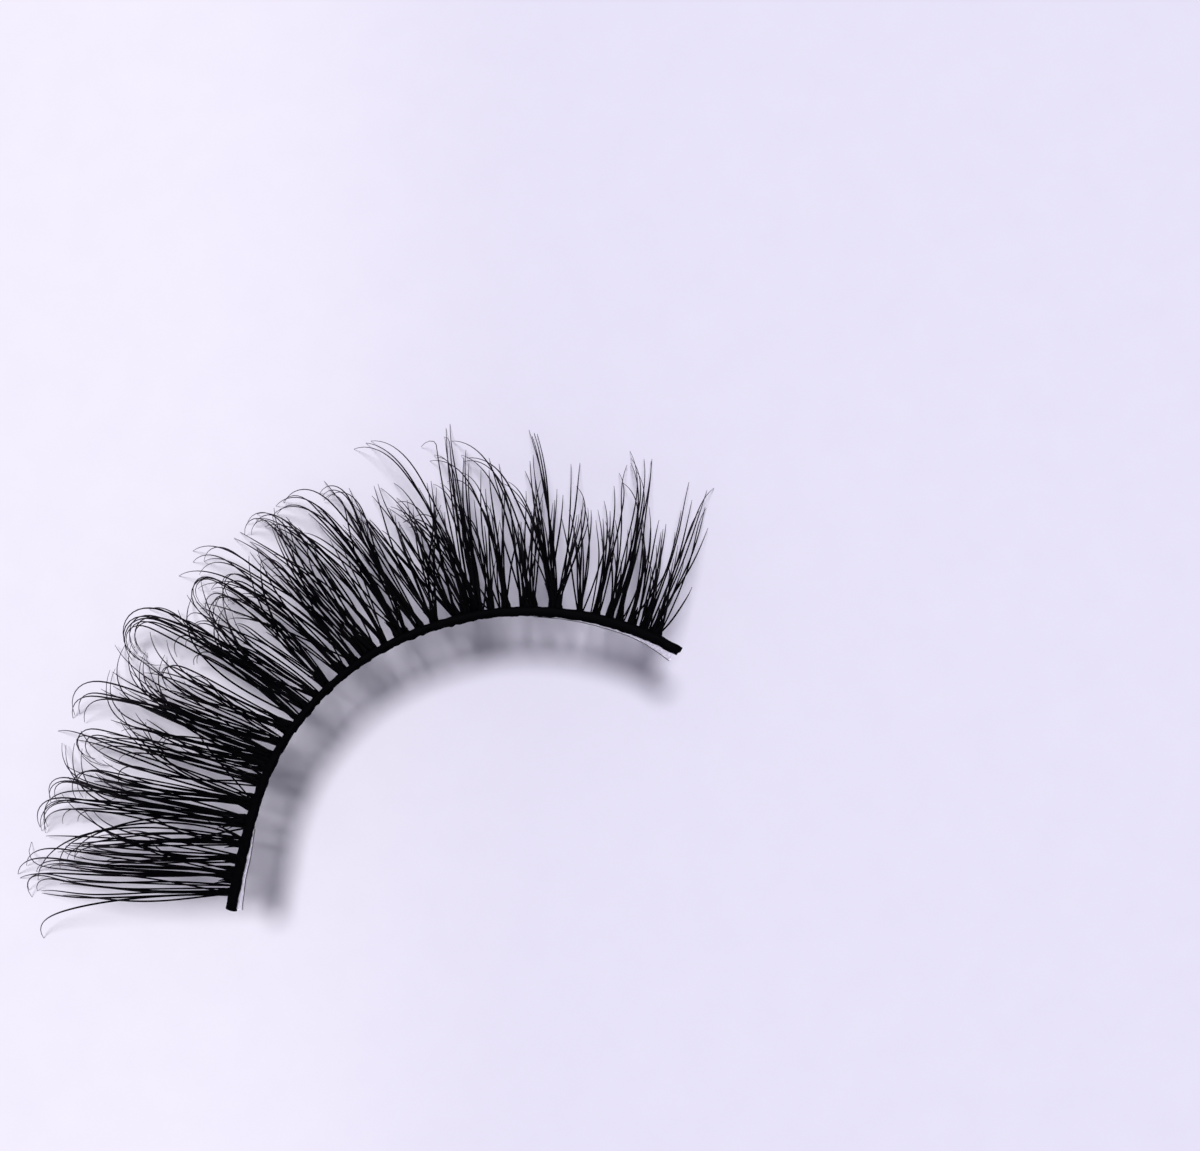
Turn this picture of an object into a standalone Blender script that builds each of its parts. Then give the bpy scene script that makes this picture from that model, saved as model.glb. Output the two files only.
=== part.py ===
"""False eyelash strip, lying on the tips of its lashes.

The band is held up by the lashes, which leave it almost level, bend over and stand on their tips.
The frame is +Z up, with its origin under the middle of the strip's box, at the level of the tips.
+X points to the outer corner of the eye, where the lashes are longest, and -Y to the lash side.
"""
import math

import bmesh
import bpy
from mathutils import Vector

MM = 0.001

# Band: a flat strip that follows the eyelid's curve from the outer to the inner corner
BAND_START = Vector((10.76, 9.542)) * MM
BAND_HEADING = math.radians(229.0)
# length_mm, turn_deg
BAND_RUNS = (
    (5.2, -3.5),
    (13.4, -52.0),
    (15.6, -53.5),
)
BAND_LENGTH = sum(length for length, turn in BAND_RUNS) * MM
BAND_WIDTH = 0.60 * MM
BAND_THICKNESS = 0.40 * MM
BAND_TOP = 8.70 * MM
BAND_STATIONS = 36

# Root strip: the layer of knotted hair roots just under the band
ROOT_GAP = 0.10 * MM
ROOT_THICKNESS = 0.45 * MM
ROOT_WIDTH = 0.50 * MM
ROOT_START = 0.60 * MM
ROOT_END = 33.20 * MM
ROOT_TOP = BAND_TOP - BAND_THICKNESS - ROOT_GAP
ROOT_LEVEL = ROOT_TOP - ROOT_THICKNESS / 2

# Locks: one row for each tuft, from the outer corner to the inner corner.
# lean turns the whole lock from straight out towards the outer corner, and sweep is how far its root
# is turned back from that. reach is how far its tip lies out, hook shifts the tip towards the outer
# corner, and tip is the tip's height above the ground.
# along_mm, lean_deg, sweep_deg, reach_mm, hook_mm, tip_mm
LOCKS = (
    (0.9, 19, 6, 14.8, 1.2, 0.0),
    (1.7, 18, 6, 15.4, 0.8, 0.0),
    (2.5, 14, 6, 13.8, 0.2, 0.5),
    (3.4, 24, 14, 13.6, 0.6, 0.2),
    (4.3, 21, 8, 15.0, 1.2, 0.0),
    (5.3, 11, 6, 13.8, 0.3, 0.6),
    (6.3, 5, 4, 14.2, -0.3, 0.3),
    (7.1, 18, 14, 12.6, 0.4, 0.8),
    (7.9, 18, 12, 12.0, 0.0, 0.6),
    (8.7, 23, 16, 14.0, 1.2, 0.0),
    (9.5, 9, 8, 13.0, 0.4, 0.4),
    (10.3, 16, 12, 11.6, 0.4, 0.8),
    (11.1, 20, 18, 12.4, 1.0, 0.0),
    (11.9, 25, 18, 13.0, 1.2, 0.0),
    (12.7, 15, 12, 11.0, 0.4, 0.4),
    (13.5, 17, 16, 10.4, 0.6, 0.4),
    (14.3, 26, 20, 12.6, 1.0, 0.0),
    (15.0, 25, 18, 12.8, 0.6, 0.0),
    (15.7, 8, 12, 10.8, 0.2, 0.4),
    (16.4, 20, 16, 11.4, 0.8, 0.0),
    (17.2, 24, 18, 11.9, 0.4, 0.0),
    (17.9, 12, 12, 10.4, 0.2, 0.4),
    (18.6, 25, 20, 11.6, 0.8, 0.0),
    (19.3, 17, 12, 10.9, 0.2, 0.2),
    (20.1, 20, 14, 10.2, 0.2, 0.3),
    (20.9, 8, 10, 8.6, 0.2, 0.9),
    (21.7, 23, 16, 9.6, 0.4, 0.2),
    (22.5, 27, 18, 12.2, 0.4, 0.0),
    (23.2, 2, 8, 11.0, 0.0, 0.2),
    (24.0, 25, 18, 9.8, 0.4, 0.2),
    (24.8, 6, 8, 8.4, 0.1, 0.5),
    (25.6, 26, 18, 10.8, 0.4, 0.0),
    (26.5, 16, 10, 10.8, 0.1, 0.0),
    (27.3, -2, 6, 8.6, 0.1, 0.3),
    (28.1, 10, 10, 6.8, 0.1, 0.8),
    (28.9, 6, 10, 6.9, 0.1, 0.5),
    (29.7, 8, 10, 9.4, 0.1, 0.0),
    (30.4, 8, 10, 9.9, 0.0, 0.0),
    (31.1, 8, 8, 7.6, 0.0, 0.4),
    (31.8, 4, 8, 8.0, 0.0, 0.2),
    (32.4, 1, 8, 9.6, -0.1, 0.0),
    (32.9, -5, 6, 7.4, -0.2, 0.3),
)
LOCK_RINGS = 9
# Share of the way along the lock, and its radius there
# share, radius_mm
LOCK_RADII = (
    (0.0, 0.22),
    (0.3, 0.36),
    (0.7, 0.28),
    (1.0, 0.09),
)
# A tip is cut square, so its middle stands a little above its lowest edge
TIP_STAND = 0.051 * MM
# The lock leaves level, and these shares of its reach, drop and hook place the bend
LEVEL_REACH = 0.48
BEND_REACH = 0.86
BEND_DROP = 0.50
BEND_HOOK = 0.30

# Dried glue: clear slivers beside the inner edge of the band
FILM_THICKNESS = 0.12 * MM
FILM_GAP = 0.05 * MM
FILM_LEVEL = BAND_TOP - BAND_THICKNESS / 2
# along_mm, width_mm
OUTER_FILM = (
    (0.15, 0.28),
    (0.9, 0.22),
    (1.8, 0.12),
    (4.6, 0.09),
)
INNER_FILM = (
    (26.5, 0.08),
    (31.6, 0.10),
    (32.6, 0.16),
    (33.9, 0.42),
)
FILM_STEPS = 12

BAND_BLACK = (0.010, 0.009, 0.011)
LASH_BLACK = (0.014, 0.011, 0.014)
GLUE_CLEAR = (0.82, 0.80, 0.84)


def clear_scene():
    """Remove every object, so that the file can be run again."""
    for item in list(bpy.data.objects):
        bpy.data.objects.remove(item, do_unlink=True)


def make_collection(name):
    """Make a collection in the scene."""
    group = bpy.data.collections.new(name)
    bpy.context.scene.collection.children.link(group)
    return group


def make_material(name, colour, roughness, alpha=1.0):
    """Make a plain Principled material."""
    material = bpy.data.materials.new(name)
    material.use_nodes = True
    shader = material.node_tree.nodes["Principled BSDF"]
    shader.inputs["Base Color"].default_value = (*colour, 1.0)
    shader.inputs["Roughness"].default_value = roughness
    shader.inputs["Metallic"].default_value = 0.0
    shader.inputs["Alpha"].default_value = alpha
    return material


def band_place(along):
    """Give the plan point and heading of the band's middle line at a distance from its outer end."""
    point = BAND_START.copy()
    heading = BAND_HEADING
    left = along
    for length_mm, turn_deg in BAND_RUNS:
        length = length_mm * MM
        step = min(left, length)
        turn = math.radians(turn_deg) * step / length
        if step > 0.0:
            chord = step * math.sin(turn / 2) / (turn / 2)
            middle = heading + turn / 2
            point += chord * Vector((math.cos(middle), math.sin(middle)))
        heading += turn
        left -= step
    return point, heading


def beside_band(along, offset):
    """Give a plan point at a distance from the band's middle line, positive on the lash side."""
    point, heading = band_place(along)
    outward = Vector((-math.sin(heading), math.cos(heading)))
    return point + outward * offset


def read_table(table, at):
    """Read a two-column table between its rows."""
    for (low, low_value), (high, high_value) in zip(table, table[1:]):
        if at <= high:
            share = (at - low) / (high - low)
            return low_value + (high_value - low_value) * share
    return table[-1][1]


def flat_strip(name, edges, thickness, level):
    """Make a flat strip from its two edges, as a filled 2D curve with a thickness."""
    outline = [lash_side for lash_side, eye_side in edges]
    outline += [eye_side for lash_side, eye_side in reversed(edges)]
    curve = bpy.data.curves.new(name, "CURVE")
    curve.dimensions = "2D"
    curve.fill_mode = "BOTH"
    curve.extrude = thickness / 2
    spline = curve.splines.new("POLY")
    spline.points.add(len(outline) - 1)
    for point, place in zip(spline.points, outline):
        point.co = (place.x, place.y, 0.0, 1.0)
    spline.use_cyclic_u = True
    strip = bpy.data.objects.new(name, curve)
    strip.location.z = level
    return strip


def even_edges(start, end, width, steps):
    """Give the two edges of a strip of even width on the band's middle line."""
    edges = []
    for step in range(steps + 1):
        along = start + (end - start) * step / steps
        edges.append((beside_band(along, width / 2), beside_band(along, -width / 2)))
    return edges


def film_edges(widths):
    """Give the two edges of a glue film beside the inner edge of the band."""
    seat = -(BAND_WIDTH / 2 + FILM_GAP)
    first = widths[0][0]
    last = widths[-1][0]
    edges = []
    for step in range(FILM_STEPS + 1):
        along_mm = first + (last - first) * step / FILM_STEPS
        width = read_table(widths, along_mm) * MM
        along = along_mm * MM
        edges.append((beside_band(along, seat), beside_band(along, seat - width)))
    return edges


def lock_line(row):
    """Give the four control points of a lock's middle line."""
    along_mm, lean_deg, sweep_deg, reach_mm, hook_mm, tip_mm = row
    base, heading = band_place(along_mm * MM)
    way = heading + math.pi / 2 + math.radians(lean_deg)
    sweep = math.radians(sweep_deg)
    out = Vector((math.cos(way), math.sin(way), 0.0))
    side = Vector((-out.y, out.x, 0.0))
    reach = reach_mm * MM
    hook = side * hook_mm * MM
    drop = Vector((0.0, 0.0, tip_mm * MM + TIP_STAND - ROOT_LEVEL))
    root = Vector((base.x, base.y, ROOT_LEVEL))
    level = root + (out * math.cos(sweep) - side * math.sin(sweep)) * reach * LEVEL_REACH
    bulge = side * math.tan(sweep) * reach * (1.0 - BEND_REACH)
    bend = root + out * reach * BEND_REACH - bulge + hook * BEND_HOOK + drop * BEND_DROP
    tip = root + out * reach + hook + drop
    return root, level, bend, tip


def on_curve(controls, share):
    """Give the point at a share of the way along a cubic curve."""
    rest = 1.0 - share
    root, level, bend, tip = controls
    return (root * rest ** 3 + level * 3 * rest ** 2 * share
            + bend * 3 * rest * share ** 2 + tip * share ** 3)


def to_mesh(item, group):
    """Turn a curve object into a closed mesh object."""
    bpy.context.view_layer.update()
    depsgraph = bpy.context.evaluated_depsgraph_get()
    mesh = bpy.data.meshes.new_from_object(item.evaluated_get(depsgraph))
    shape = bmesh.new()
    shape.from_mesh(mesh)
    bmesh.ops.remove_doubles(shape, verts=shape.verts, dist=0.001 * MM)
    shape.to_mesh(mesh)
    shape.free()
    solid = bpy.data.objects.new(item.name, mesh)
    solid.matrix_world = item.matrix_world
    name = item.name
    bpy.data.objects.remove(item, do_unlink=True)
    solid.name = name
    group.objects.link(solid)
    return solid


def make_lock(number, row, group):
    """Make one lock as a tube that swells and then tapers to its tip."""
    curve = bpy.data.curves.new(f"lock_{number:02d}", "CURVE")
    curve.dimensions = "3D"
    curve.bevel_depth = MM
    curve.bevel_resolution = 1
    curve.use_fill_caps = True
    spline = curve.splines.new("POLY")
    spline.points.add(LOCK_RINGS - 1)
    controls = lock_line(row)
    for ring, point in enumerate(spline.points):
        share = ring / (LOCK_RINGS - 1)
        point.co = (*on_curve(controls, share), 1.0)
        point.radius = read_table(LOCK_RADII, share)
    lock = bpy.data.objects.new(f"lock_{number:02d}", curve)
    group.objects.link(lock)
    return to_mesh(lock, group)


def make_band(parts):
    """Make the band."""
    edges = even_edges(0.0, BAND_LENGTH, BAND_WIDTH, BAND_STATIONS)
    band = flat_strip("band", edges, BAND_THICKNESS, BAND_TOP - BAND_THICKNESS / 2)
    parts.objects.link(band)
    band.data.materials.append(make_material("glued_band", BAND_BLACK, 0.35))


def make_fringe(parts, cutters):
    """Make the root strip and fuse every lock to it."""
    edges = even_edges(ROOT_START, ROOT_END, ROOT_WIDTH, BAND_STATIONS)
    strip = flat_strip("lash_fringe", edges, ROOT_THICKNESS, ROOT_LEVEL)
    parts.objects.link(strip)
    fringe = to_mesh(strip, parts)
    for number, row in enumerate(LOCKS, start=1):
        lock = make_lock(number, row, cutters)
        lock.hide_render = True
        lock.display_type = "WIRE"
    union = fringe.modifiers.new("fuse_locks", "BOOLEAN")
    union.operation = "UNION"
    union.solver = "EXACT"
    union.operand_type = "COLLECTION"
    union.collection = cutters
    fringe.data.materials.append(make_material("lash_hair", LASH_BLACK, 0.45))


def make_film(name, widths, parts):
    """Make one sliver of dried glue."""
    film = flat_strip(name, film_edges(widths), FILM_THICKNESS, FILM_LEVEL)
    parts.objects.link(film)
    film.data.materials.append(make_material(name, GLUE_CLEAR, 0.12, alpha=0.35))


def main():
    clear_scene()
    parts = make_collection("false_eyelash_strip")
    cutters = make_collection("locks_to_fuse")
    make_band(parts)
    make_fringe(parts, cutters)
    make_film("outer_glue_film", OUTER_FILM, parts)
    make_film("inner_glue_film", INNER_FILM, parts)


main()
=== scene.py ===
# %% [markdown]
# # A false eyelash strip, hair by hair
# The strip is a thin glued band that carries about forty tufts of fine synthetic hair. It lies as it
# was put down: on the tips of its lashes, with the band held up above the table by their curve.
# The CAD model gives the size, the band's run along the eyelid and the locks. This script dresses it:
# every hair becomes a thin tapered tube, and the band gets the lumps of its dried glue.

# %% Load the CAD frame
import math

import bpy
import numpy as np
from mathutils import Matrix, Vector, noise


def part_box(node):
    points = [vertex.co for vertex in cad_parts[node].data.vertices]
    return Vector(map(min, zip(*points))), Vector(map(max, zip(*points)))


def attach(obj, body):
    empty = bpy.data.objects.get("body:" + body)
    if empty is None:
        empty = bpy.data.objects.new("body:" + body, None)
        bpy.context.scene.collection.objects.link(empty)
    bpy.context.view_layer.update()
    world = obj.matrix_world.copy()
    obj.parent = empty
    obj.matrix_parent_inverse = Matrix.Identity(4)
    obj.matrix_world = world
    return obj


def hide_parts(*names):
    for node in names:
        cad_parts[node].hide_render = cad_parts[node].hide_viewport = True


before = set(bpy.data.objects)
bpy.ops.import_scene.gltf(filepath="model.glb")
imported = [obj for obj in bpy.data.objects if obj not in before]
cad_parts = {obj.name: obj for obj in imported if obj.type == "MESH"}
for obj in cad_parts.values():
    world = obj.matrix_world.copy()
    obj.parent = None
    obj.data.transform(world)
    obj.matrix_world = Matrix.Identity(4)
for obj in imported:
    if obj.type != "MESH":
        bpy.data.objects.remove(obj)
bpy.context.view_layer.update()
print("cad nodes:", sorted(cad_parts))

# %% [markdown]
# ## Measures that the hairs share with the CAD
# Hairs can only sit on the band if the script knows where the band runs. The CAD model builds the band
# from three arcs, so the same three arcs are repeated here. Plan places are complex numbers: adding
# moves a point, and multiplying by exp(i * angle) turns it, which keeps the hair maths short.

# %% The band's run, from the outer corner of the eye to the inner one
MM = 0.001
BAND_START = complex(10.76, 9.542) * MM
BAND_HEADING = math.radians(229.0)
# length_mm, turn_deg
BAND_RUNS = (
    (5.2, -3.5),
    (13.4, -52.0),
    (15.6, -53.5),
)
BAND_LENGTH = sum(length for length, turn in BAND_RUNS) * MM
BAND_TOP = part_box("band")[1][2]
BAND_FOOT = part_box("band")[0][2]
# along_mm, width_mm
BAND_WIDTHS = np.array((
    (0.0, 0.60), (6.0, 0.54), (10.5, 0.42), (14.0, 0.37), (17.0, 0.39),
    (20.0, 0.43), (24.0, 0.50), (30.0, 0.57), (34.2, 0.56),
))


def band_place(along):
    """Give the plan place and heading of the band's middle line at a distance from its outer end."""
    place = BAND_START
    heading = BAND_HEADING
    left = along
    for length_mm, turn_deg in BAND_RUNS:
        length = length_mm * MM
        step = min(left, length)
        turn = math.radians(turn_deg) * step / length
        if step > 0.0:
            chord = step * math.sin(turn / 2) / (turn / 2)
            place += chord * np.exp(1j * (heading + turn / 2))
        heading += turn
        left -= step
    return place, heading


def beside_band(along, offset):
    """Give the plan place beside the band's middle line, positive on the lash side."""
    place, heading = band_place(along)
    return place + offset * 1j * np.exp(1j * heading)


def band_width(along):
    """Give the band's width at a distance from its outer end."""
    return float(np.interp(along / MM, BAND_WIDTHS[:, 0], BAND_WIDTHS[:, 1])) * MM


print(f"band: {BAND_LENGTH / MM:.1f} mm long, top at {BAND_TOP / MM:.2f} mm")

# %% [markdown]
# ## The camera
# The strip was photographed from straight above with a wide phone lens, a hand's width away. A camera
# looks down its own -Z axis, so it needs no tilt, only a turn about Z. Its numbers also let the script
# go back from a spot in the picture to a place on the object: that is how the tips are laid out below.

# %% Camera, and the way back from the picture to the object
PICTURE_WIDTH = 1200
PICTURE_HEIGHT = 1151
CAMERA_PLACE = Vector((-15.86, 3.833, 74.6)) * MM
CAMERA_TURN = math.radians(149.9)
CAMERA_REACH = 1209.0
SENSOR_MM = 36.0

lens = bpy.data.cameras.new("overhead_camera")
lens.sensor_fit = "HORIZONTAL"
lens.sensor_width = SENSOR_MM
lens.lens = SENSOR_MM * CAMERA_REACH / PICTURE_WIDTH
lens.clip_start = 1.0 * MM
lens.clip_end = 10.0
camera = bpy.data.objects.new("overhead_camera", lens)
camera.location = CAMERA_PLACE
camera.rotation_euler = (0.0, 0.0, CAMERA_TURN)
bpy.context.scene.collection.objects.link(camera)
bpy.context.scene.camera = camera


def under_spot(x, y, height):
    """Give the plan place at a height that a spot of the picture shows."""
    scale = (CAMERA_PLACE.z - height) / CAMERA_REACH
    across = (x - PICTURE_WIDTH / 2) * scale
    upward = (PICTURE_HEIGHT / 2 - y) * scale
    return complex(CAMERA_PLACE.x, CAMERA_PLACE.y) + complex(across, upward) * np.exp(1j * CAMERA_TURN)


print(f"lens {lens.lens:.2f} mm at {CAMERA_PLACE.z / MM:.1f} mm above the table")

# %% [markdown]
# ## Tufts
# The maker of the strip knots or glues the hairs to the band in small bundles. They aren't evenly
# spaced: some are narrow pairs of hairs, and a few are fat ones that carry the long spikes of the style.
# Each row below is the foot of one tuft: its spot in the picture, and half its width.

# %% Where each tuft is rooted
# x, y, half_width_mm
TUFTS = (
    (227, 893, 0.30), (231, 877, 0.24), (235, 860, 0.22), (239, 844, 0.22), (245, 824, 0.42),
    (252, 804, 0.24), (261, 783, 0.16), (266, 768, 0.36), (273, 755, 0.22), (281, 745, 0.24),
    (289, 731, 0.34), (297, 718, 0.24), (306, 708, 0.26), (316, 697, 0.22), (328, 689, 0.16),
    (344, 675, 0.30), (355, 667, 0.28), (366, 659, 0.20), (375, 653, 0.18), (385, 647, 0.14),
    (403, 638, 0.40), (419, 630, 0.22), (434, 623, 0.18), (454, 615, 0.18), (470, 611, 0.44),
    (480, 609, 0.10), (491, 608, 0.12), (504, 606, 0.28), (528, 606, 0.48), (554, 606, 0.36),
    (580, 609, 0.14), (596, 612, 0.28), (609, 615, 0.26), (621, 618, 0.26), (633, 622, 0.28),
    (645, 627, 0.30), (656, 631, 0.36),
)
STATIONS = np.linspace(0.0, BAND_LENGTH, 1200)
STATION_PLACES = np.array([band_place(along)[0] for along in STATIONS])


def nearest_along(x, y):
    """Give the distance along the band of the station nearest to a spot of the picture."""
    gaps = np.abs(STATION_PLACES - under_spot(x, y, BAND_TOP))
    return STATIONS[int(np.argmin(gaps))]


TUFT_ALONG = [nearest_along(x, y) for x, y, half_width in TUFTS]
print("tufts:", len(TUFTS), "first and last at mm",
      round(TUFT_ALONG[0] / MM, 1), round(TUFT_ALONG[-1] / MM, 1))

# %% [markdown]
# ## The shape of one hair
# A lash fibre is set into a curve by heat, so it turns steadily, and many of them curl harder near the
# tip. The easiest way to draw that is to walk along the hair: at each step the heading turns a little,
# and the steps add up to the line. The whole line is then turned and scaled so that its farthest point
# lies on the wanted spot. The height falls slowly at first and then quickly, like a lash that leaves
# the band level and bends down to the table.

# %% Walk along one hair
HAIR_STEPS = 33
SHARES = np.linspace(0.0, 1.0, HAIR_STEPS)
TIP_REST = 0.05 * MM
FALL_POWER = 2.6
WAVES_PER_HAIR = 1.3
CURL_EASE = 1.6


def hair_walk(bend_deg, curl_deg, curl_start, wobble_deg, phase, ease=CURL_EASE):
    """Give the plan line of a hair of length 1 that starts along +X, as complex numbers."""
    late = np.clip((SHARES - curl_start) / (1.0 - curl_start), 0.0, 1.0)
    heading = np.radians(bend_deg) * SHARES + np.radians(curl_deg) * late ** ease
    heading += np.radians(wobble_deg) * np.sin(2.0 * math.pi * (WAVES_PER_HAIR * SHARES + phase))
    steps = np.exp(1j * heading)
    middles = (steps[1:] + steps[:-1]) / 2
    return np.concatenate(([0.0], np.cumsum(middles))) / (HAIR_STEPS - 1)


def hair_heights(root_height, tip_height):
    """Give the height of each step of a hair."""
    return tip_height + (root_height - tip_height) * (1.0 - SHARES ** FALL_POWER)


def hair_line(root, root_height, far, tip_height, walk):
    """Lay a walk from its root so that its farthest point comes to a plan place."""
    farthest = int(np.argmax(np.abs(walk)))
    plan = root + walk * (far - root) / walk[farthest]
    return np.stack([plan.real, plan.imag, hair_heights(root_height, tip_height)], axis=1)


bent_walk = hair_walk(40.0, 0.0, 0.5, 0.0, 0.0)
print("a hair that bends 40 degrees reaches this share of its length:", round(float(abs(bent_walk[-1])), 3))

# %% [markdown]
# ## Wisps
# Within a tuft, a few hairs cling together and share one tip: a wisp. The wisps make the picture,
# so each is listed one by one. A row names its tuft, the spot in the picture that its tip reaches
# farthest out, how much it turns on the way (positive is towards the outer corner), how much more it
# curls near the tip, how high above the table it ends, and how many hairs it has.

# %% Wisps of the outer third
# tuft, x, y, bend_deg, curl_deg, tip_mm, hairs
OUTER_WISPS = (
    (0, 32, 897, 2, 90, 0.0, 1), (0, 42, 893, 10, 10, 0.2, 2), (0, 29, 890, 4, 56, 0.0, 2),
    (0, 41, 891, 16, 10, 0.3, 2), (0, 60, 884, 10, 10, 0.8, 2),
    (1, 18, 874, 10, 40, 0.0, 3), (1, 20, 878, 6, 30, 0.0, 3),
    (1, 60, 862, 14, 0, 0.8, 2), (1, 62, 794, -2, 0, 0.6, 1),
    (2, 58, 852, 10, 4, 0.8, 4), (2, 62, 850, 8, 0, 1.0, 2), (2, 46, 836, 22, 10, 0.4, 1),
    (2, 84, 810, -4, 0, 0.8, 2), (2, 100, 866, 20, 10, 1.8, 2),
    (3, 38, 880, 66, 10, 0.0, 2), (3, 67, 861, 40, 20, 0.4, 2), (3, 75, 857, 36, 20, 0.8, 1),
    (3, 66, 846, 14, 4, 0.8, 3), (3, 95, 845, 18, 8, 1.6, 2),
    (4, 40, 827, 14, 80, 0.0, 4), (4, 42, 831, 14, 70, 0.0, 2), (4, 63, 824, 20, 40, 0.4, 2),
    (4, 51, 799, 14, 70, 0.0, 3), (4, 77, 800, 18, 80, 0.2, 2), (4, 68, 777, 6, 4, 0.5, 2),
    (4, 68, 778, 12, 4, 0.5, 2),
    (4, 86, 783, 14, 4, 0.8, 2), (3, 110, 838, 14, 10, 1.6, 2), (5, 112, 800, 20, 20, 1.4, 2),
    (5, 67, 766, 6, 4, 0.6, 3), (5, 90, 775, 14, 0, 0.9, 2), (5, 62, 743, -8, -55, 0.2, 2),
    (5, 66, 745, -6, -60, 0.3, 2), (5, 82, 756, 0, 0, 0.6, 3), (5, 58, 731, 24, 14, 0.0, 2),
    (5, 81, 731, 2, -10, 0.6, 1), (5, 119, 709, -6, 0, 0.8, 2), (5, 121, 722, -4, 0, 0.9, 2),
    (6, 119, 760, 34, 24, 0.4, 2), (6, 79, 749, 24, 150, 0.0, 2), (6, 90, 746, 24, 20, 0.4, 2),
    (7, 120, 721, -6, 0, 0.8, 2), (7, 111, 720, 18, 10, 0.6, 2), (7, 107, 733, 26, 10, 0.5, 2),
    (7, 98, 738, 22, 6, 0.7, 2), (7, 159, 744, 46, 24, 0.8, 2), (7, 128, 658, -16, 0, 0.6, 2),
    (7, 178, 743, 16, 4, 1.8, 2),
    (8, 73, 718, 36, 75, 0.0, 2), (8, 80, 714, 38, 75, 0.0, 2), (8, 101, 689, 12, 0, 0.4, 2),
    (8, 113, 686, 12, 4, 0.5, 3), (8, 110, 670, 2, -70, 0.3, 2), (8, 143, 674, 0, 0, 0.8, 1),
    (9, 113, 672, 6, 0, 0.4, 2), (9, 115, 645, 6, -10, 0.4, 2), (9, 125, 645, 2, -70, 0.0, 3),
    (9, 131, 645, 0, -60, 0.2, 2), (9, 150, 700, 20, 10, 1.6, 3),
    (10, 163, 680, 30, 130, 0.4, 2), (10, 144, 673, 20, 20, 0.6, 2), (10, 150, 632, -8, -10, 0.6, 2),
    (10, 167, 660, 10, -40, 0.8, 1), (10, 160, 690, 20, 10, 1.5, 3), (10, 175, 668, 16, 4, 1.2, 3),
    (11, 126, 640, 36, 110, 0.0, 2), (11, 194, 665, 40, 60, 1.0, 2), (11, 175, 652, 34, 100, 0.6, 2),
    (11, 192, 597, -14, -40, 0.0, 2),
    (12, 124, 640, 44, 110, 0.0, 3), (12, 131, 641, 42, 120, 0.0, 2), (12, 149, 609, 6, 40, 0.1, 2),
    (12, 178, 610, 4, 0, 0.6, 1), (12, 178, 620, 20, 30, 0.6, 2), (12, 201, 581, -8, 0, 0.5, 2),
    (12, 190, 640, 30, 20, 1.3, 3),
)
print("outer wisps:", len(OUTER_WISPS))

# %% Wisps of the middle third
MIDDLE_WISPS = (
    (13, 187, 595, 6, 0, 0.5, 1), (13, 223, 593, -10, -80, 0.1, 2), (13, 200, 609, 30, 20, 0.3, 1),
    (13, 186, 622, 30, 60, 0.6, 2), (13, 215, 600, -2, 0, 0.8, 3), (13, 225, 640, 34, 20, 1.4, 3),
    (14, 193, 588, 50, 150, 0.0, 2), (14, 206, 610, 40, 110, 0.2, 3), (14, 249, 556, -10, 0, 0.6, 2),
    (14, 212, 590, 40, 40, 0.3, 2), (14, 235, 625, 30, 20, 1.3, 3),
    (15, 179, 576, 46, 24, 0.0, 2), (15, 222, 587, 48, 130, 0.1, 2), (15, 211, 590, 44, 50, 0.3, 2),
    (15, 257, 548, -10, 0, 0.6, 2), (15, 193, 562, 42, 40, 0.0, 2), (15, 240, 595, 36, 30, 1.2, 4),
    (15, 262, 610, 30, 20, 1.8, 3),
    (16, 193, 551, 38, 36, 0.0, 2), (16, 204, 561, 40, 70, 0.1, 1), (16, 272, 514, 4, 0, 0.3, 3),
    (16, 250, 552, 26, 0, 0.4, 2), (16, 262, 562, 26, 50, 0.6, 2), (16, 280, 580, 26, 10, 1.5, 4),
    (17, 247, 524, 34, 90, 0.0, 3), (17, 252, 529, 34, 100, 0.0, 1), (17, 274, 508, 0, 0, 0.4, 2),
    (17, 234, 538, 34, 4, 0.1, 2), (17, 285, 565, 26, 10, 1.4, 3),
    (18, 240, 532, 34, 4, 0.1, 2), (18, 250, 542, 30, 4, 0.3, 2), (18, 289, 519, -12, 0, 0.5, 2),
    (18, 286, 517, 24, 4, 0.6, 2),
    (19, 256, 519, 50, 24, 0.0, 2), (19, 257, 514, 50, 24, 0.0, 2), (19, 262, 521, 30, 4, 0.3, 1),
    (19, 312, 545, 10, 0, 1.4, 2),
    (20, 276, 506, 42, 54, 0.0, 3), (20, 283, 502, 42, 54, 0.0, 2), (20, 320, 493, 24, 90, 0.0, 4),
    (20, 290, 530, 36, 10, 0.6, 3), (20, 343, 556, 34, 20, 1.4, 2), (20, 311, 502, 38, 20, 0.3, 2),
    (19, 330, 540, 20, 10, 1.4, 2), (21, 345, 530, 20, 0, 1.5, 2),
    (21, 330, 490, 16, 10, 0.2, 3), (21, 324, 481, 22, 0, 0.2, 2), (21, 351, 494, -4, 0, 0.5, 2),
    (21, 359, 507, 0, 0, 0.8, 3), (21, 343, 525, 20, 10, 1.2, 3),
    (22, 349, 488, 16, 0, 0.3, 2), (22, 374, 486, -4, 0, 0.5, 2), (22, 370, 520, 30, 10, 0.8, 2),
    (22, 372, 540, 16, 0, 1.5, 3), (22, 395, 515, 10, 0, 0.9, 3), (22, 441, 505, -4, 0, 0.9, 2),
    (23, 378, 484, 4, 0, 0.5, 1), (23, 372, 496, 24, 0, 0.5, 1), (23, 403, 523, 16, 70, 0.8, 2),
    (23, 407, 500, 6, 0, 0.6, 2), (23, 413, 506, 2, 0, 0.8, 2), (23, 398, 522, 14, 0, 1.0, 2),
    (23, 380, 536, 20, 0, 0.9, 2),
)
print("middle wisps:", len(MIDDLE_WISPS))

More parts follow.
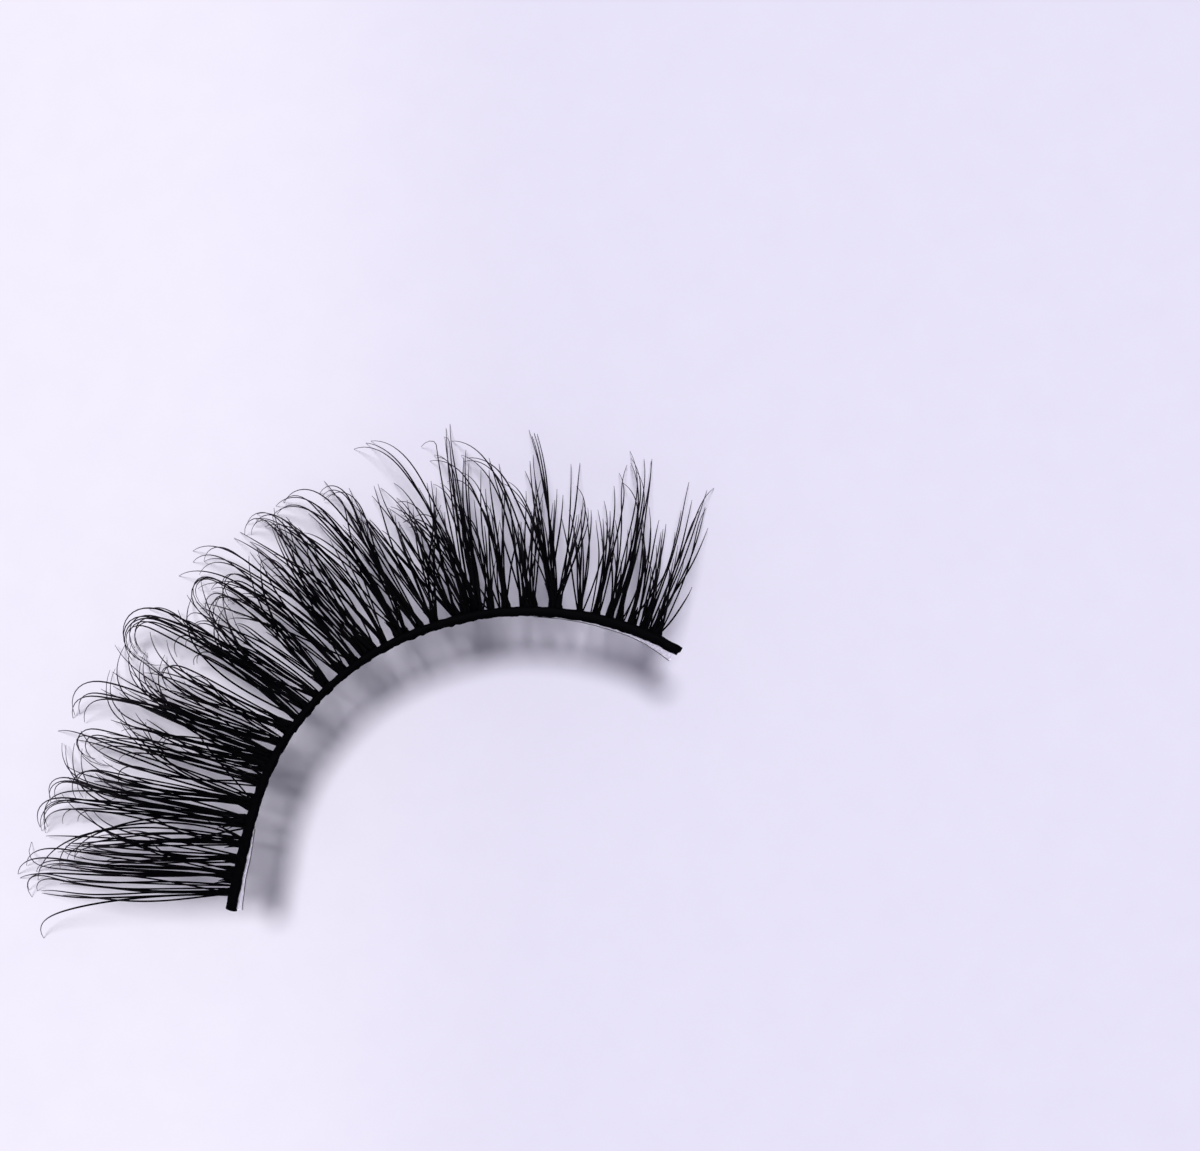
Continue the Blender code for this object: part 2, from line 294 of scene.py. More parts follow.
# %% Wisps of the inner third
INNER_WISPS = (
    (24, 381, 488, 36, 4, 0.1, 2), (24, 394, 483, 30, 16, 0.1, 2), (24, 354, 449, 30, 44, 0.0, 1),
    (24, 366, 443, 26, 36, 0.0, 1), (24, 371, 441, 28, 38, 0.0, 1), (24, 388, 508, 44, 4, 0.3, 2),
    (24, 396, 503, 34, 50, 0.3, 2), (24, 404, 522, 66, 40, 0.5, 2), (24, 446, 428, 6, 0, 0.1, 2),
    (24, 450, 424, 8, 0, 0.1, 2), (24, 434, 455, 14, 60, 0.1, 2), (23, 427, 483, 12, 0, 0.6, 3),
    (23, 431, 481, 10, 0, 0.6, 2), (24, 440, 510, 12, 0, 1.3, 4),
    (25, 433, 484, 44, 24, 0.2, 2), (25, 466, 450, 2, 0, 0.4, 1), (25, 469, 463, 0, 0, 0.5, 1),
    (25, 462, 500, 8, 0, 1.2, 3),
    (26, 450, 509, 44, 60, 0.6, 2), (26, 455, 489, 20, 0, 0.8, 2), (26, 481, 470, 6, 0, 0.5, 2),
    (26, 474, 500, 10, 0, 1.2, 2),
    (27, 430, 461, 42, 46, 0.0, 2), (27, 478, 503, 30, 20, 0.8, 2), (27, 489, 470, 10, 0, 0.8, 1),
    (27, 490, 505, 12, 0, 1.2, 3), (27, 500, 520, 4, 0, 1.6, 3),
    (28, 452, 441, 32, 38, 0.0, 3), (28, 461, 455, 32, 36, 0.1, 2), (28, 489, 458, 16, 0, 0.4, 1),
    (28, 499, 464, 8, 0, 0.4, 2), (28, 510, 500, 14, 0, 1.0, 3), (28, 526, 491, 4, 0, 0.8, 2),
    (28, 541, 480, 6, 0, 0.5, 3), (28, 534, 506, 6, 0, 1.0, 3), (28, 518, 520, 10, 0, 1.6, 4),
    (29, 502, 483, 30, 24, 0.2, 3), (29, 529, 430, 18, 2, 0.0, 3), (29, 532, 436, 14, 2, 0.1, 2),
    (29, 530, 461, 2, 0, 0.3, 2), (29, 525, 471, 8, 24, 0.4, 1), (29, 557, 489, 4, 0, 0.7, 2),
    (29, 553, 503, -8, 0, 0.8, 1), (29, 563, 495, 4, 0, 0.8, 2), (29, 571, 464, 10, 0, 0.3, 1),
    (29, 580, 463, 10, 0, 0.3, 1), (29, 577, 515, 14, 0, 1.0, 2), (29, 583, 497, 22, 0, 0.8, 2),
    (30, 569, 510, 10, 0, 0.8, 2), (30, 583, 502, 26, 10, 0.8, 2), (30, 591, 510, 12, 0, 0.9, 1),
    (31, 604, 501, 26, 0, 0.6, 2), (31, 610, 511, 20, 0, 0.8, 3), (31, 614, 486, 18, 0, 0.6, 1),
    (31, 614, 525, 14, 0, 1.2, 3),
    (32, 627, 465, 18, -30, 0.3, 1), (31, 619, 473, 14, 44, 0.3, 1), (32, 630, 451, 18, 30, 0.1, 2),
    (32, 615, 520, 20, 0, 1.0, 3), (32, 628, 530, 14, 0, 1.4, 3),
    (32, 631, 458, 18, 36, 0.2, 3), (33, 644, 459, 8, 0, 0.2, 1), (33, 652, 459, 4, 0, 0.2, 1),
    (33, 638, 505, 16, 0, 1.0, 3), (33, 643, 515, 16, 0, 1.0, 2),
    (34, 649, 507, 18, 0, 0.8, 3), (34, 651, 461, 2, 0, 0.2, 1), (34, 643, 520, 20, 0, 1.2, 3),
    (34, 659, 520, 6, 0, 1.0, 2),
    (35, 666, 524, 4, 0, 0.9, 2), (35, 663, 529, 8, 0, 1.0, 2), (35, 656, 545, 14, 0, 1.5, 3),
    (35, 689, 482, 5, 0, 0.2, 2), (35, 675, 532, 12, 0, 1.0, 1),
    (36, 707, 490, 1, 0, 0.2, 2), (36, 714, 488, 0, -20, 0.1, 3), (36, 692, 500, 4, 0, 0.6, 1),
    (36, 708, 528, 2, 0, 0.5, 1), (36, 692, 587, 4, 0, 1.5, 1), (36, 684, 560, 6, 0, 1.6, 3),
    (36, 678, 545, 8, 0, 1.4, 2),
)
print("inner wisps:", len(INNER_WISPS))

# %% [markdown]
# ## From wisps to hairs
# Hairs of one wisp are never copies: each starts at its own spot of the tuft, is a little shorter or
# longer, and bends a little differently, so that they cross. Seeded random numbers give that, and the
# same hairs come back at every run. Between the wisps, each tuft also has loose shorter hairs that
# follow the general flow: they fill the roots without changing the outline.

# %% Hairs of a wisp
SEED = 41
rng = np.random.default_rng(SEED)
ALL_WISPS = OUTER_WISPS + MIDDLE_WISPS + INNER_WISPS
NEIGHBOUR_SHARE = 0.30
BARE_OUTER_END = 0.25 * MM
BARE_INNER_END = 1.0 * MM
ROOT_OFFSET_MM = (0.05, 0.22)
ROOT_LEVEL_MM = (-0.25, 0.15)
TIP_SPREAD_MM = 0.25
SIDEWAYS_MM = 0.26
BEND_SPREAD_DEG = 7.0
CURL_SPREAD_DEG = 4.0
CURL_SHARE = (0.8, 1.15)
CURL_START = (0.58, 0.74)
WOBBLE_DEG = (0.5, 3.0)
# A wisp with a hooked tip keeps its hairs almost equally long, or the hook would blur.
HOOK_DEG = 50
SPARE_HOOKED_MM = 0.6
SPARE_STRAIGHT_MM = 2.2


def hair_root(tuft):
    """Pick the plan place and height where one hair of a tuft starts, inside the band's glue."""
    half_width = TUFTS[tuft][2] * MM
    along = TUFT_ALONG[tuft] + rng.uniform(-1.0, 1.0) * half_width
    along = min(max(along, BARE_OUTER_END), BAND_LENGTH - BARE_INNER_END)
    offset = rng.uniform(*ROOT_OFFSET_MM) * MM
    height = BAND_FOOT + rng.uniform(*ROOT_LEVEL_MM) * MM
    return beside_band(along, offset), height


def wisp_hairs(row):
    """Give the lines of the hairs of one wisp."""
    tuft, x, y, bend, curl, tip_mm, hairs = row
    lines = []
    for hair in range(hairs):
        home = tuft
        if hair > 0 and rng.uniform() < NEIGHBOUR_SHARE:
            home = min(max(tuft + int(rng.choice((-1, 1))), 0), len(TUFTS) - 1)
        root, root_height = hair_root(home)
        tip_height = tip_mm * MM + TIP_REST + rng.uniform(0.0, TIP_SPREAD_MM) * MM * (hair > 0)
        walk = hair_walk(
            bend + rng.normal(0.0, BEND_SPREAD_DEG) * (hair > 0),
            curl * rng.uniform(*CURL_SHARE) + rng.normal(0.0, CURL_SPREAD_DEG),
            rng.uniform(*CURL_START),
            rng.uniform(*WOBBLE_DEG),
            rng.uniform(),
        )
        farthest = int(np.argmax(np.abs(walk)))
        height = hair_heights(root_height, tip_height)[farthest]
        far = under_spot(x, y, height)
        outward = (far - root) / abs(far - root)
        most_spare = SPARE_HOOKED_MM if curl > HOOK_DEG else SPARE_STRAIGHT_MM
        spare = rng.uniform(0.0, most_spare) * MM * (hair > 0)
        sideways = rng.normal(0.0, SIDEWAYS_MM) * MM * (hair > 0)
        lines.append(hair_line(root, root_height, far + outward * (sideways * 1j - spare),
                               tip_height, walk))
    return lines


print("hairs in all wisps:", sum(row[-1] for row in ALL_WISPS))

# %% Loose hairs that follow the flow
# along_mm, lean_deg, bend_deg, reach_mm
FLOW = np.array((
    (0.9, 12.0, 10.0, 12.5),
    (5.3, 4.0, 14.0, 12.5),
    (10.0, 14.0, 24.0, 12.0),
    (13.0, 22.0, 34.0, 11.5),
    (16.4, 26.0, 40.0, 11.0),
    (20.0, 24.0, 34.0, 10.0),
    (24.0, 18.0, 24.0, 8.5),
    (27.0, 8.0, 14.0, 8.0),
    (30.0, 2.0, 16.0, 7.2),
    (33.0, 5.0, 14.0, 6.5),
))
LOOSE_PER_MM = 1.0
LOOSE_PER_TUFT = 0.8
LOOSE_LEAN_DEG = 12.0
LOOSE_BEND_DEG = 9.0
LOOSE_CURL_DEG = (-15.0, 50.0)
LOOSE_CURL_START = 0.66
LOOSE_SHARE = (0.5, 0.96)
# A shorter hair ends higher: this is how high a hair with no length would end.
LOOSE_TIP_MM = (4.0, 8.0)


def loose_hairs(tuft):
    """Give the lines of a tuft's loose hairs."""
    along = TUFT_ALONG[tuft]
    lean, bend, reach = (np.interp(along / MM, FLOW[:, 0], FLOW[:, column]) for column in (1, 2, 3))
    count = round(LOOSE_PER_MM * 2.0 * TUFTS[tuft][2] + LOOSE_PER_TUFT) * (tuft > 0)
    lines = []
    for hair in range(count):
        root, root_height = hair_root(tuft)
        way = band_place(along)[1] + math.pi / 2 + math.radians(lean + rng.normal(0.0, LOOSE_LEAN_DEG))
        share = rng.uniform(*LOOSE_SHARE)
        far = root + reach * MM * share * np.exp(1j * way)
        tip_height = TIP_REST + (1.0 - share) * rng.uniform(*LOOSE_TIP_MM) * MM
        walk = hair_walk(
            bend * share + rng.normal(0.0, LOOSE_BEND_DEG),
            rng.uniform(*LOOSE_CURL_DEG),
            LOOSE_CURL_START,
            rng.uniform(*WOBBLE_DEG),
            rng.uniform(),
        )
        lines.append(hair_line(root, root_height, far, tip_height, walk))
    return lines


print("longest loose hairs, mm:", FLOW[0, 3], "at the outer corner and", FLOW[-1, 3], "at the inner one")


# %% [markdown]
# ## From lines to tubes
# One Blender object per hair would be slow, so all the tubes of a region are built as one mesh. Each
# line gets a ring of points at every step. A ring has to stand square to the line and must not twist,
# so each ring's side direction is carried over from the ring before, less whatever part of it points
# along the line. Both ends are closed, so that every hair is a small solid of its own.

# %% Tubes around lines
HAIR_SIDES = 6
UPRIGHT = np.array((0.0, 0.0, 1.0))


def unit(vectors):
    """Scale vectors to length 1."""
    return vectors / np.linalg.norm(vectors, axis=-1, keepdims=True)


def ring_points(lines, radii, sides, flatness=1.0):
    """Give the points of the rings around many lines at once."""
    tangents = unit(np.gradient(lines, axis=1))
    side = unit(np.cross(tangents[:, 0], UPRIGHT))
    rings = []
    turns = 2.0 * math.pi * np.arange(sides) / sides
    for step in range(lines.shape[1]):
        tangent = tangents[:, step]
        side = unit(side - tangent * np.sum(side * tangent, axis=1, keepdims=True))
        over = np.cross(side, tangent)
        ring = (side[:, None, :] * np.cos(turns)[None, :, None]
                + over[:, None, :] * np.sin(turns)[None, :, None] * flatness)
        rings.append(lines[:, step, None, :] + ring * radii[:, step, None, None])
    return np.stack(rings, axis=1)


def tube_faces(tubes, steps, sides):
    """Give the faces of many closed tubes: quads around them and a cap at each end."""
    corner = np.arange(tubes * steps * sides).reshape(tubes, steps, sides)
    after = np.roll(corner, -1, axis=2)
    quads = np.stack([corner[:, :-1], corner[:, 1:], after[:, 1:], after[:, :-1]], axis=-1)
    caps = corner[:, 0].tolist() + corner[:, -1, ::-1].tolist()
    return quads.reshape(-1, 4).tolist() + caps


def tube_mesh(name, lines, radii, sides, flatness=1.0):
    """Make one object of many closed tubes, which know how far along they are and which one."""
    lines = np.asarray(lines)
    tubes, steps = lines.shape[:2]
    points = ring_points(lines, radii, sides, flatness)
    mesh = bpy.data.meshes.new(name)
    mesh.from_pydata(points.reshape(-1, 3).tolist(), [], tube_faces(tubes, steps, sides))
    along = np.repeat(np.tile(np.linspace(0.0, 1.0, steps), tubes), sides)
    strand = np.repeat(rng.uniform(size=tubes), steps * sides)
    for label, values in (("along", along), ("strand", strand)):
        layer = mesh.attributes.new(label, "FLOAT", "POINT")
        layer.data.foreach_set("value", values.astype(np.float32))
    mesh.polygons.foreach_set("use_smooth", np.ones(len(mesh.polygons), dtype=bool))
    piece = bpy.data.objects.new(name, mesh)
    bpy.context.scene.collection.objects.link(piece)
    triangles = sum(len(face.vertices) - 2 for face in mesh.polygons)
    print(f"{name}: {tubes} tubes, {triangles} triangles")
    return piece


# %% [markdown]
# ## Finishes
# The hair is black synthetic fibre with a faint purple-grey cast where it thins out towards the tip.
# The glue of the band dries satin black, and the slivers that squeezed out of it dry clear. Each finish
# is one Principled shader. Noise in the object's own coordinates changes colour and roughness a little,
# and a bump adds the grain that is too fine to model.

# %% Nodes for the finishes


def new_finish(name):
    """Make a material with an empty Principled shader, and give both it and its nodes."""
    finish = bpy.data.materials.new(name)
    finish.use_nodes = True
    tree = finish.node_tree
    return finish, tree, tree.nodes["Principled BSDF"]


def add_noise(tree, feature_mm, detail=3.0):
    """Add object coordinates and a noise whose features are about that size."""
    place = tree.nodes.new("ShaderNodeTexCoord")
    grain = tree.nodes.new("ShaderNodeTexNoise")
    grain.inputs["Scale"].default_value = 1.0 / (feature_mm * MM)
    grain.inputs["Detail"].default_value = detail
    tree.links.new(place.outputs["Object"], grain.inputs["Vector"])
    return grain


def add_ramp(tree, source, stops):
    """Add a colour ramp with these (place, colour) stops."""
    ramp = tree.nodes.new("ShaderNodeValToRGB")
    while len(ramp.color_ramp.elements) < len(stops):
        ramp.color_ramp.elements.new(0.5)
    for element, (place, colour) in zip(ramp.color_ramp.elements, stops):
        element.position = place
        element.color = (*colour, 1.0)
    tree.links.new(source, ramp.inputs["Fac"])
    return ramp.outputs["Color"]


def add_range(tree, source, low, high):
    """Map a value from 0..1 to low..high."""
    span = tree.nodes.new("ShaderNodeMapRange")
    span.inputs["To Min"].default_value = low
    span.inputs["To Max"].default_value = high
    tree.links.new(source, span.inputs["Value"])
    return span.outputs["Result"]


def add_bump(tree, shader, source, height_mm, strength):
    """Add a bump of that height."""
    bump = tree.nodes.new("ShaderNodeBump")
    bump.inputs["Distance"].default_value = height_mm * MM
    bump.inputs["Strength"].default_value = strength
    tree.links.new(source, bump.inputs["Height"])
    tree.links.new(bump.outputs["Normal"], shader.inputs["Normal"])


# %% Black fibre, satin black glue and clear glue
def make_fibre():
    """Black fibre: darkest at the root, a little purple-grey at the thin tip."""
    finish, tree, shader = new_finish("black_lash_fibre")
    along = tree.nodes.new("ShaderNodeAttribute")
    along.attribute_name = "along"
    strand = tree.nodes.new("ShaderNodeAttribute")
    strand.attribute_name = "strand"
    length_colour = add_ramp(tree, along.outputs["Fac"], (
        (0.0, (0.0004, 0.0003, 0.0006)),
        (0.60, (0.0010, 0.0008, 0.0014)),
        (1.0, (0.020, 0.012, 0.022)),
    ))
    strand_colour = add_ramp(tree, strand.outputs["Fac"], (
        (0.0, (0.75, 0.75, 1.0)),
        (0.6, (1.0, 0.9, 1.0)),
        (1.0, (1.7, 1.3, 1.5)),
    ))
    mix = tree.nodes.new("ShaderNodeMix")
    mix.data_type = "RGBA"
    mix.blend_type = "MULTIPLY"
    mix.inputs["Factor"].default_value = 1.0
    tree.links.new(length_colour, mix.inputs["A"])
    tree.links.new(strand_colour, mix.inputs["B"])
    tree.links.new(mix.outputs["Result"], shader.inputs["Base Color"])
    grain = add_noise(tree, feature_mm=0.05)
    roughness = add_range(tree, grain.outputs["Fac"], low=0.34, high=0.52)
    tree.links.new(roughness, shader.inputs["Roughness"])
    shader.inputs["Specular IOR Level"].default_value = 0.02
    add_bump(tree, shader, grain.outputs["Fac"], height_mm=0.004, strength=0.4)
    return finish


def make_band_glue():
    """Black glue over sewn thread, between satin and matt."""
    finish, tree, shader = new_finish("satin_black_glue")
    lumps = add_noise(tree, feature_mm=0.28)
    colour = add_ramp(tree, lumps.outputs["Fac"], (
        (0.3, (0.0004, 0.0003, 0.0005)),
        (0.7, (0.0014, 0.0012, 0.0017)),
    ))
    tree.links.new(colour, shader.inputs["Base Color"])
    roughness = add_range(tree, lumps.outputs["Fac"], low=0.40, high=0.75)
    tree.links.new(roughness, shader.inputs["Roughness"])
    shader.inputs["Specular IOR Level"].default_value = 0.014
    grain = add_noise(tree, feature_mm=0.07, detail=5.0)
    add_bump(tree, shader, grain.outputs["Fac"], height_mm=0.02, strength=0.6)
    return finish


def make_clear_glue():
    """Clear dried glue, slightly milky."""
    finish, tree, shader = new_finish("clear_dried_glue")
    haze = add_noise(tree, feature_mm=0.2)
    colour = add_ramp(tree, haze.outputs["Fac"], (
        (0.3, (0.78, 0.76, 0.82)),
        (0.7, (0.95, 0.94, 0.98)),
    ))
    tree.links.new(colour, shader.inputs["Base Color"])
    roughness = add_range(tree, haze.outputs["Fac"], low=0.06, high=0.22)
    tree.links.new(roughness, shader.inputs["Roughness"])
    shader.inputs["Transmission Weight"].default_value = 0.70
    shader.inputs["IOR"].default_value = 1.46
    add_bump(tree, shader, haze.outputs["Fac"], height_mm=0.02, strength=0.5)
    return finish


FIBRE = make_fibre()
BAND_GLUE = make_band_glue()
CLEAR_GLUE = make_clear_glue()
print("finishes:", FIBRE.name, BAND_GLUE.name, CLEAR_GLUE.name)

# %% [markdown]
# ## The lashes
# The fibres taper: full thickness for the first three fifths and then thinner and thinner, down to a
# third at the tip. Three meshes, for the outer, middle and inner third, keep each one light enough to
# edit.

# %% Build the lashes in thirds
HAIR_RADIUS = 0.050 * MM
RADIUS_SHARE = (0.82, 1.08)
TAPER_START = 0.60
TAPER_LOSS = 0.68
TAPER_POWER = 1.4
FIRST_MIDDLE_TUFT = 13
FIRST_INNER_TUFT = 24


def hair_radii(count, thickness=1.0):
    """Give the radius at each step of many hairs."""
    late = np.clip((SHARES - TAPER_START) / (1.0 - TAPER_START), 0.0, 1.0)
    shape = 1.0 - TAPER_LOSS * late ** TAPER_POWER
    return thickness * HAIR_RADIUS * rng.uniform(*RADIUS_SHARE, size=(count, 1)) * shape[None, :]


def make_lashes(name, wisps, tufts, thickness):
    """Make the lashes of one third of the strip."""
    lines = []
    for row in wisps:
        lines += wisp_hairs(row)
    for tuft in tufts:
        lines += loose_hairs(tuft)
    piece = tube_mesh(name, lines, hair_radii(len(lines), thickness), HAIR_SIDES)
    piece.data.materials.append(FIBRE)
    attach(piece, "root")
    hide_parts("lash_fringe")


outer_tufts = range(0, FIRST_MIDDLE_TUFT)
middle_tufts = range(FIRST_MIDDLE_TUFT, FIRST_INNER_TUFT)
inner_tufts = range(FIRST_INNER_TUFT, len(TUFTS))
make_lashes("outer_lashes", OUTER_WISPS, outer_tufts, thickness=1.02)
make_lashes("middle_lashes", MIDDLE_WISPS, middle_tufts, thickness=0.97)
make_lashes("inner_lashes", INNER_WISPS, inner_tufts, thickness=0.95)

# %% [markdown]
# ## Stray hairs
# A few hairs stand apart: the outermost one sweeps wide of the others, its neighbour hooks the other
# way, one is kinked near the tip, and some curl right round into a loop. Such hairs say more about a
# real object than a hundred tidy ones, so each has a row of its own, with the place along its length
# where it starts to curl, and how gently the curl sets in.

# %% Strays and loops
# root_x, root_y, far_x, far_y, bend_deg, curl_deg, curl_start, ease, tip_mm
STRAYS = (
    (224, 896, 43.7, 938, 37, 43, 0.56, 3.7, 0.0),
    (231, 877, 31.5, 842, 12, -103, 0.58, 7.7, 0.0),
    (469, 611, 425, 443, 4, 106, 0.885, 0.5, 0.1),
    (471, 611, 444, 437, 6, 70, 0.92, 1.6, 0.1),
    (260, 788, 126, 792, 2, 120, 0.60, 1.6, 0.8),
    (329, 688, 192, 590, 44, 190, 0.58, 1.6, 0.0),
    (342, 676, 223, 590, 46, 190, 0.60, 1.6, 0.1),
    (306, 708, 124, 641, 40, 190, 0.60, 1.6, 0.0),
    (262, 782, 79, 750, 22, 150, 0.78, 1.6, 0.0),
)
STRAY_WOBBLE_DEG = 0.6
STRAY_PHASE = 0.2
STRAY_OFFSET = 0.1 * MM
stray_lines = []
for root_x, root_y, far_x, far_y, bend, curl, curl_start, ease, tip_mm in STRAYS:
    tip_height = tip_mm * MM + TIP_REST
    walk = hair_walk(bend, curl, curl_start, STRAY_WOBBLE_DEG, STRAY_PHASE, ease)
    farthest = int(np.argmax(np.abs(walk)))
    height = hair_heights(BAND_FOOT, tip_height)[farthest]
    root = beside_band(nearest_along(root_x, root_y), STRAY_OFFSET)
    far = under_spot(far_x, far_y, height)
    stray_lines.append(hair_line(root, BAND_FOOT, far, tip_height, walk))
strays = tube_mesh("stray_lashes", stray_lines, hair_radii(len(stray_lines)), HAIR_SIDES)
strays.data.materials.append(FIBRE)
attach(strays, "root")
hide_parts("lash_fringe")

# %% [markdown]
# ## Glue-soaked roots
# Glue creeps up the hairs, so a tuft starts as a solid black stem that splits into its wisps after
# about a millimetre, with small windows between. Each tuft and each fuller wisp gets a short fat tube
# along the first part of its line, flattened like the band. A tube is widest just outside the band,
# which rounds the feet of the windows. Where tubes overlap they read as one webbed root.

# %% Root stems
STEM_STEPS = 9
STEM_SIDES = 10
STEM_SHAPE = np.array((1.3, 1.75, 1.7, 1.25, 0.92, 0.70, 0.52, 0.36, 0.22))
STEM_FLATNESS = 0.6
STEM_BARE_OUTER_END = 0.35 * MM
STEM_BARE_INNER_END = 1.2 * MM
STEM_OFFSET = 0.10 * MM
STEM_TURN = 0.12
STEM_SAG = 0.06 * MM
STEM_LEVEL_MM = (-0.10, 0.05)
stems = []
stem_sizes = []


def stem_line(tuft, way, length, root_height, spread):
    """Give the line of one root stem."""
    along = TUFT_ALONG[tuft] + rng.uniform(-spread, spread) * TUFTS[tuft][2] * MM
    along = min(max(along, STEM_BARE_OUTER_END), BAND_LENGTH - STEM_BARE_INNER_END)
    start = beside_band(along, STEM_OFFSET)
    shares = np.linspace(0.0, 1.0, STEM_STEPS)
    plan = start + shares * length * np.exp(1j * (way + STEM_TURN * shares))
    heights = root_height - STEM_SAG * shares ** 2
    return np.stack([plan.real, plan.imag, heights], axis=1)


def add_stem(tuft, way, length_mm, radius_mm, spread=0.8):
    """Add one stem, with its length and radius picked from two ranges."""
    length = rng.uniform(*length_mm) * MM
    root_height = BAND_FOOT + rng.uniform(*STEM_LEVEL_MM) * MM
    stems.append(stem_line(tuft, way, length, root_height, spread))
    stem_sizes.append(rng.uniform(*radius_mm) * MM)


# %% Stems of the tufts
FAT_TUFT_MM = 0.34
FAT_STEMS = 6
TUFT_AIM = 0.10
TUFT_LENGTH_MM = (0.9, 1.6)
TUFT_RADIUS_MM = (0.08, 0.13)
# The outermost tufts stand so close that their roots web together.
WEBBED_TUFTS = 8
WEB_STEMS = 3
WEB_AIM = 0.30
WEB_LENGTH_MM = (1.2, 2.4)
WEB_RADIUS_MM = (0.05, 0.08)
WEB_SPREAD = 1.8
for tuft, foot in enumerate(TUFTS):
    lean = np.interp(TUFT_ALONG[tuft] / MM, FLOW[:, 0], FLOW[:, 1] - 0.5 * FLOW[:, 2])
    normal = band_place(TUFT_ALONG[tuft])[1] + math.pi / 2 + math.radians(lean)
    for stem in range(FAT_STEMS if foot[2] >= FAT_TUFT_MM else 1):
        add_stem(tuft, normal + rng.normal(0.0, TUFT_AIM), TUFT_LENGTH_MM, TUFT_RADIUS_MM)
    for stem in range(WEB_STEMS if 0 < tuft < WEBBED_TUFTS else 0):
        add_stem(tuft, normal + rng.normal(0.0, WEB_AIM), WEB_LENGTH_MM, WEB_RADIUS_MM, WEB_SPREAD)
print("stems of the tufts:", len(stems))

# %% Stems of the fuller wisps
FULL_WISP = 3
WISP_LENGTH_MM = (0.7, 1.3)
WISP_RADIUS_MM = (0.055, 0.085)
AIM_HEIGHT = 1.0 * MM
AIM_OFFSET = 0.2 * MM
for tuft, x, y, bend, curl, tip_mm, hairs in ALL_WISPS:
    if hairs < FULL_WISP:
        continue
    normal = band_place(TUFT_ALONG[tuft])[1] + math.pi / 2
    chord = under_spot(x, y, AIM_HEIGHT) - beside_band(TUFT_ALONG[tuft], AIM_OFFSET)
    way = float(np.angle(chord)) - math.radians(0.5 * bend)
    side_turn = math.remainder(way - normal, 2.0 * math.pi)
    add_stem(tuft, normal + side_turn, WISP_LENGTH_MM, WISP_RADIUS_MM)
stem_radii = np.array(stem_sizes)[:, None] * STEM_SHAPE[None, :]
roots = tube_mesh("glued_roots", stems, stem_radii, STEM_SIDES, flatness=STEM_FLATNESS)
roots.data.materials.append(BAND_GLUE)
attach(roots, "root")
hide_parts("lash_fringe")

# %% [markdown]
# ## The band
# The band is a strip of thread soaked in black glue: rounded edges, a lumpy skin, small swellings where
# the tufts go in, and cut ends. A ring of points is swept along the band's run. The two cut ends
# slant, so the ends of the sweep are sheared. Noise from `mathutils` moves each point a little, which
# makes the lumps real geometry that also shows in the outline.

# %% Sweep the band
BAND_SIDES = 24
BAND_RINGS = 380
OUTER_CUT = 0.06 * MM
INNER_CUT = 0.36 * MM
# Powers below 1 make the round section squarer.
SQUARE_ACROSS = 0.62
SQUARE_UP = 0.75
SWELL_REACH = 0.12 * MM
SWELL_OUT = 0.05 * MM
LUMP_MM = 0.060
LUMP_SIZE_MM = 0.45
FINE_LUMP_SIZE_MM = 0.18
FINE_LUMP_SHARE = 0.6


def lump(point, size_mm):
    """Give a smooth random value at a place, about -1 to 1."""
    return noise.noise(point / (size_mm * MM))


def band_ring(along, share):
    """Give one ring of the band."""
    half_width = band_width(along) / 2
    half_thickness = (BAND_TOP - BAND_FOOT) / 2
    swell = 0.0
    for tuft, place in enumerate(TUFT_ALONG):
        gap = (along - place) / (TUFTS[tuft][2] * MM + SWELL_REACH)
        swell = max(swell, math.exp(-gap * gap))
    points = []
    for side in range(BAND_SIDES):
        turn = 2.0 * math.pi * side / BAND_SIDES
        across = math.copysign(abs(math.cos(turn)) ** SQUARE_ACROSS, math.cos(turn))
        upward = math.copysign(abs(math.sin(turn)) ** SQUARE_UP, math.sin(turn))
        width = half_width + SWELL_OUT * swell * max(across, 0.0)
        cut = across * (OUTER_CUT * (1.0 - share) + INNER_CUT * share)
        station = min(max(along + (cut if share in (0.0, 1.0) else 0.0), 0.0), BAND_LENGTH)
        place = beside_band(station, across * width)
        height = BAND_FOOT + half_thickness * (1.0 + upward)
        point = Vector((place.real, place.imag, height))
        rough = LUMP_MM * (1.0 - 0.5 * max(across, 0.0))
        push = (lump(point, LUMP_SIZE_MM) + FINE_LUMP_SHARE * lump(point, FINE_LUMP_SIZE_MM)) * rough * MM
        outward = beside_band(station, across * (width + push))
        lift = 0.5 * upward * (push - abs(push)) / 2
        points.append((outward.real, outward.imag, height + lift))
    return points


rings = []
for ring in range(BAND_RINGS):
    share = ring / (BAND_RINGS - 1)
    rings.append(band_ring(BAND_LENGTH * share, share))
mesh = bpy.data.meshes.new("glued_band")
mesh.from_pydata([point for ring in rings for point in ring], [],
                 tube_faces(1, BAND_RINGS, BAND_SIDES))
mesh.polygons.foreach_set("use_smooth", np.ones(len(mesh.polygons), dtype=bool))
band = bpy.data.objects.new("glued_band", mesh)
bpy.context.scene.collection.objects.link(band)
band.data.materials.append(BAND_GLUE)
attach(band, "root")
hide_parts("band")
print("band rings:", BAND_RINGS)

# %% [markdown]
# ## The loose thread
# The lashes are tied to a sewing thread before the glue goes on. Along the middle of the band the thread
# stands a little out of the glue on the eye side, which makes that edge bumpy. One thin tube follows the
# edge, and noise lets it swing out and back in.

